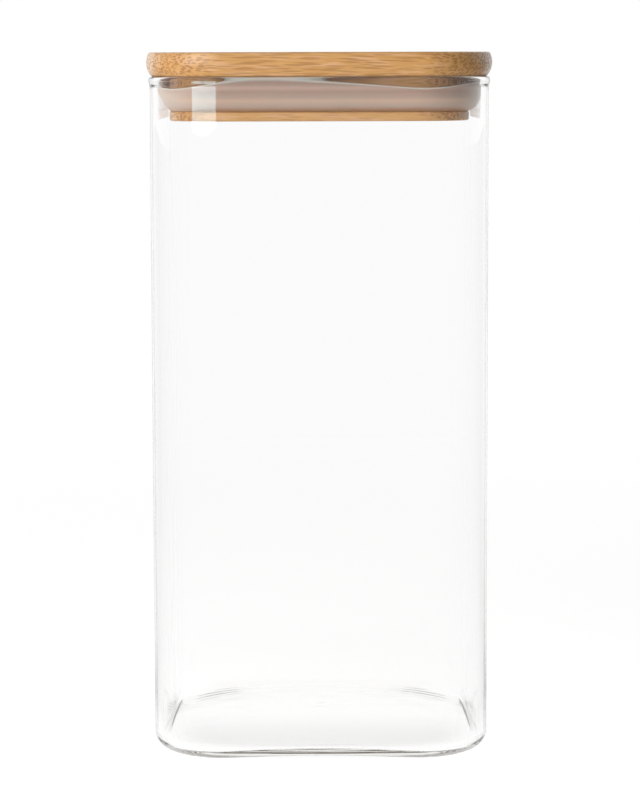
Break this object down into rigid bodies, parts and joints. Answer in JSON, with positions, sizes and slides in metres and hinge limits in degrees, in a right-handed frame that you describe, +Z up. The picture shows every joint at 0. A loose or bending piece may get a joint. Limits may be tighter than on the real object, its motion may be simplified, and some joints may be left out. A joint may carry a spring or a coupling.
{
  "type": "glass storage jar",
  "caption": "Tall square clear-glass storage jar with rounded corners and a push-in bamboo lid, which a silicone lip seal around its plug holds in the mouth.",
  "frame": {"origin": "middle of the jar's square base, at the level its feet stand on", "axes": "+Z up along the jar's middle, +X along the bamboo's fibres to the right, -Y the side that faces the viewer"},
  "size_m": [0.102, 0.102, 0.2082],
  "materials": {
    "glass": "clear, fire-polished",
    "silicone": "matte, slightly translucent",
    "bamboo": "sanded, lightly oiled"
  },
  "bodies": {
    "jar": {"glass_jar": "glass"},
    "lid": {"seal_ring": "silicone", "lid_stave_01": "bamboo", "lid_stave_02": "bamboo", "lid_stave_03": "bamboo", "lid_stave_04": "bamboo", "lid_stave_05": "bamboo", "lid_stave_06": "bamboo", "lid_stave_07": "bamboo", "lid_stave_08": "bamboo", "lid_stave_09": "bamboo", "lid_stave_10": "bamboo", "lid_stave_11": "bamboo", "lid_stave_12": "bamboo", "lid_stave_13": "bamboo", "lid_stave_14": "bamboo", "lid_stave_15": "bamboo", "lid_stave_16": "bamboo", "lid_stave_17": "bamboo"}
  },
  "joints": [
    {"name": "lid_lift", "type": "slide", "parent": "jar", "child": "lid", "axis": [0, 0, 1], "range_m": [0, 0.12]}
  ]
}
